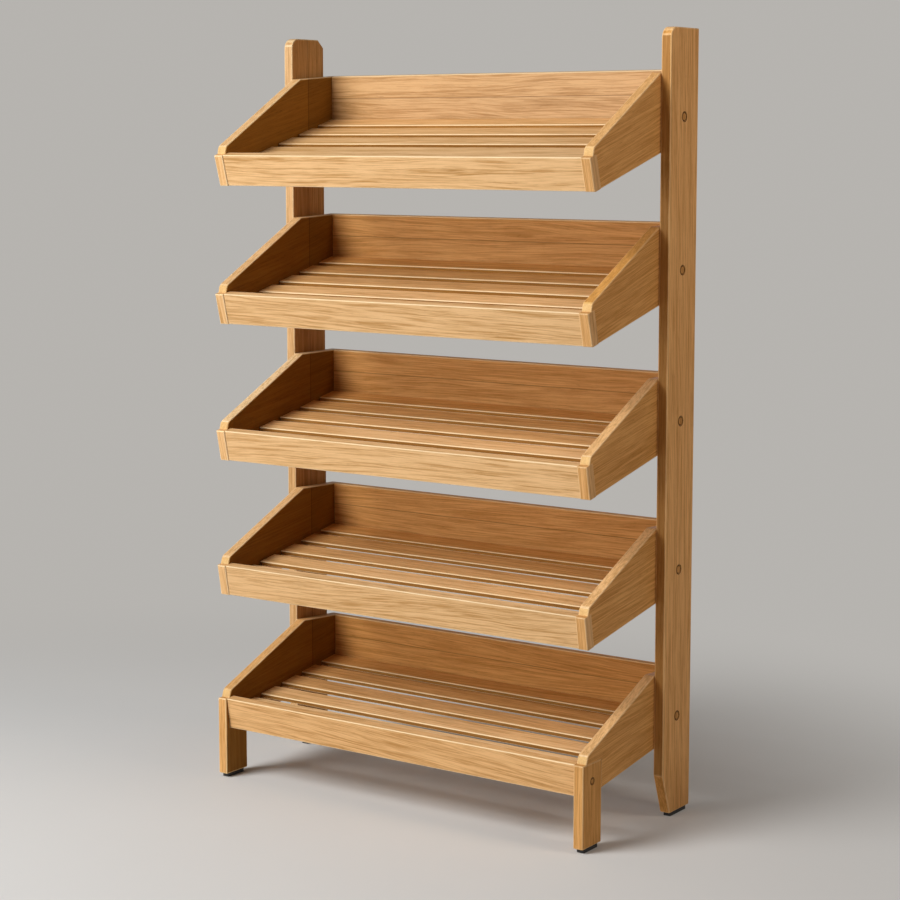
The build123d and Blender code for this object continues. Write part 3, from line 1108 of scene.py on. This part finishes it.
def plug_piece(sizes, name, centre, side, radius, node):
    """Round plug with a slightly crowned face, its axis along X."""
    out = RIGHT * side
    bm = bmesh.new()
    back = centre - out * sizes.plug_recess - out * sizes.plug_thickness
    spot = Matrix.Translation(back) @ Matrix.Rotation(math.radians(90), 4, "Y")
    bmesh.ops.create_circle(bm, cap_ends=True, radius=radius, segments=PLUG_SEGMENTS, matrix=spot)
    top = thicken(bm, bm.faces[:], out * sizes.plug_thickness)
    bmesh.ops.inset_region(bm, faces=top, thickness=radius * CROWN_SLOPE)
    bmesh.ops.translate(bm, verts=top[0].verts[:], vec=out * sizes.plug_crown)
    lean = math.radians(random.Random(name).uniform(-PLUG_LEAN, PLUG_LEAN))
    along = TOP * math.cos(lean) + REAR * math.sin(lean)
    grain = Grain(name, centre, along, RIGHT.cross(along), heart=0.01, tone=0.90)
    # Painted shade, as in a plug's recess: its colour is deeper
    plug_shading = always(PLUG_DEPTH)
    place_board(bm, name, grain, node, always(sizes.plug_rim), shaded_plug_rim, plug_shading)


class RACK_OT_plugs(bpy.types.Operator):
    """Make the wooden plugs over the screws of the posts and legs"""

    bl_idname = "rack.plugs"
    bl_label = "Plugs"

    def execute(self, context):
        sizes = context.scene.rack_sizes
        for name, side in SIDES.items():
            for number, screw in enumerate(screw_points(sizes), 1):
                centre = screw + RIGHT * side * sizes.outer_post
                piece = "wood_post_plug_%d_%s" % (number, name)
                plug_piece(sizes, piece, centre, side, sizes.plug_radius, "post_plugs")
            centre = leg_plug_point(sizes) + RIGHT * side * sizes.outer_side
            plug_piece(sizes, "wood_leg_plug_" + name, centre, side, sizes.leg_plug_radius, "leg_plugs")
        return {"FINISHED"}


class RACK_OT_screws(bpy.types.Operator):
    """Give the hidden screws their steel"""

    bl_idname = "rack.screws"
    bl_label = "Screws"

    def execute(self, context):
        for node in ("post_screws", "leg_screws"):
            screws = frame["nodes"][node]
            screws.data.materials.clear()
            screws.data.materials.append(bpy.data.materials["screw_steel"])
        return {"FINISHED"}


class RACK_OT_pads(bpy.types.Operator):
    """Make the foot pads under the posts and legs"""

    bl_idname = "rack.pads"
    bl_label = "Foot pads"

    def execute(self, context):
        sizes = context.scene.rack_sizes
        uprights = {"post": (post_low, post_high), "leg": (leg_low, leg_high)}
        for kind, (low, high) in uprights.items():
            front = low.y + sizes.pad_end_inset + (sizes.post_taper_depth if kind == "post" else 0)
            rear = high.y - sizes.pad_end_inset
            for name, side in SIDES.items():
                corner = Vector((side * (low.x + sizes.pad_side_inset), front, 0))
                wide = RIGHT * side * (high.x - low.x - 2 * sizes.pad_side_inset)
                points = rectangle(corner, REAR * (rear - front), wide)
                bm = outline_face(points, dict.fromkeys(range(4), sizes.pad_round))
                top = thicken(bm, bm.faces[:], TOP * low.z)
                bmesh.ops.inset_region(bm, faces=top, thickness=sizes.pad_lip)
                rubber = bpy.data.materials["pad_rubber"]
                pad = settle(bm, "pad_%s_%s" % (kind, name), rubber, always(sizes.tight))
                pad.data.materials.pop(index=1)
                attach(pad, ROOT)
                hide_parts("foot_pads")
        return {"FINISHED"}


class RACK_OT_stage(bpy.types.Operator):
    """Make the floor, the lights, the backdrop and the camera"""

    bl_idname = "rack.stage"
    bl_label = "Stage"

    def execute(self, context):
        scene = context.scene
        scene.view_settings.view_transform = "Standard"
        self.floor(scene)
        self.world(scene)
        for name, (place, size, watts, tint) in LAMPS.items():
            self.lamp(scene, name, Vector(place), size, watts, tint)
        self.camera(scene)
        return {"FINISHED"}

    def seen(self, shade):
        """One where the camera, a glossy surface or a clear one looks straight at the backdrop."""
        path = shade.node("ShaderNodeLightPath", {}, {})
        rays = [shade.out(path, "Is %s Ray" % kind) for kind in ("Camera", "Glossy", "Transmission")]
        return shade.math("MINIMUM", rays[0] + rays[1] + rays[2], 1.0)

    def mixed(self, shade, factor, first, second):
        """One shader turning into another."""
        return shade.node("ShaderNodeMixShader", {}, {0: factor, 1: shade.out(first), 2: shade.out(second)})

    def floor(self, scene):
        colours = scene.rack_colours
        bm = bmesh.new()
        bmesh.ops.create_grid(bm, x_segments=1, y_segments=1, size=FLOOR_REACH)
        mesh = bpy.data.meshes.new("floor")
        bm.to_mesh(mesh)
        bm.free()
        ground = bpy.data.objects.new("floor", mesh)
        scene.collection.objects.link(ground)
        material, shade = new_material("studio_floor")
        place = shade.place()
        far = shade.step(shade.vector("DISTANCE", {0: place, 1: LIT_SPOT}, "Value"), *LIT_FADE)
        mottle = shade.noise(place, (3.0, 3.0, 3.0), 3.0, 0.6)
        pale = tuple(c * 1.03 for c in colours.floor)
        tint = shade.blend(mottle, solid(colours.floor), solid(pale))
        sockets = {"Base Color": tint, "Roughness": 0.8, "Specular IOR Level": 0.2}
        lit = shade.node("ShaderNodeBsdfPrincipled", {}, sockets)
        glow = shade.node("ShaderNodeEmission", {}, {"Color": solid(colours.backdrop), "Strength": 1.0})
        shade.finish(self.mixed(shade, far * self.seen(shade), lit, glow))
        mesh.materials.append(material)

    def world(self, scene):
        world = bpy.data.worlds.new("studio")
        world.use_nodes = True
        scene.world = world
        shade = Shade(world.node_tree)
        white = {"Color": solid((1.0, 1.0, 1.0)), "Strength": AMBIENT}
        ambient = shade.node("ShaderNodeBackground", {}, white)
        backdrop = {"Color": solid(scene.rack_colours.backdrop), "Strength": 1.0}
        shown = shade.node("ShaderNodeBackground", {}, backdrop)
        shade.finish(self.mixed(shade, self.seen(shade), ambient, shown), "ShaderNodeOutputWorld")

    def lamp(self, scene, name, place, size, watts, tint):
        light = bpy.data.lights.new(name, "AREA")
        light.shape = "DISK"
        light.size = size
        light.energy = watts
        light.color = tint
        lamp = bpy.data.objects.new(name, light)
        lamp.location = place
        lamp.visible_camera = False
        lamp.rotation_euler = (LAMP_AIM - place).to_track_quat("-Z", "Y").to_euler()
        scene.collection.objects.link(lamp)

    def camera(self, scene):
        """Camera at the photograph's viewing angle, for a square picture."""
        lens = bpy.data.cameras.new("camera")
        lens.sensor_width = 36.0
        lens.lens = 87.65
        lens.shift_y = -0.05
        view = bpy.data.objects.new("camera", lens)
        view.location = CAMERA_PLACE
        view.rotation_euler = (CAMERA_TILT, 0, CAMERA_TURN)
        scene.collection.objects.link(view)
        scene.camera = view


PIECES = (
    RACK_OT_finishes,
    RACK_OT_posts,
    RACK_OT_legs,
    RACK_OT_sides,
    RACK_OT_rails,
    RACK_OT_backs,
    RACK_OT_slats,
    RACK_OT_blocks,
    RACK_OT_cleats,
    RACK_OT_plugs,
    RACK_OT_screws,
    RACK_OT_pads,
    RACK_OT_stage,
)


class RACK_PT_panel(bpy.types.Panel):
    """Lists the rack's pieces in the sidebar"""

    bl_idname = "RACK_PT_panel"
    bl_label = "Bakery display rack"
    bl_space_type = "VIEW_3D"
    bl_region_type = "UI"
    bl_category = "Rack"

    def draw(self, context):
        for piece in PIECES:
            self.layout.operator(piece.bl_idname)


CLASSES = (RackSizes, RackColours, *PIECES, RACK_PT_panel)


def register():
    for made in CLASSES:
        bpy.utils.register_class(made)
    bpy.types.Scene.rack_sizes = PointerProperty(type=RackSizes)
    bpy.types.Scene.rack_colours = PointerProperty(type=RackColours)


def unregister():
    del bpy.types.Scene.rack_colours
    del bpy.types.Scene.rack_sizes
    for made in reversed(CLASSES):
        bpy.utils.unregister_class(made)


def main():
    register()
    bpy.ops.rack.finishes()
    bpy.ops.rack.posts()
    bpy.ops.rack.legs()
    bpy.ops.rack.sides()
    bpy.ops.rack.rails()
    bpy.ops.rack.backs()
    bpy.ops.rack.slats()
    bpy.ops.rack.blocks()
    bpy.ops.rack.cleats()
    bpy.ops.rack.plugs()
    bpy.ops.rack.screws()
    bpy.ops.rack.pads()
    bpy.ops.rack.stage()


if __name__ == "__main__":
    main()
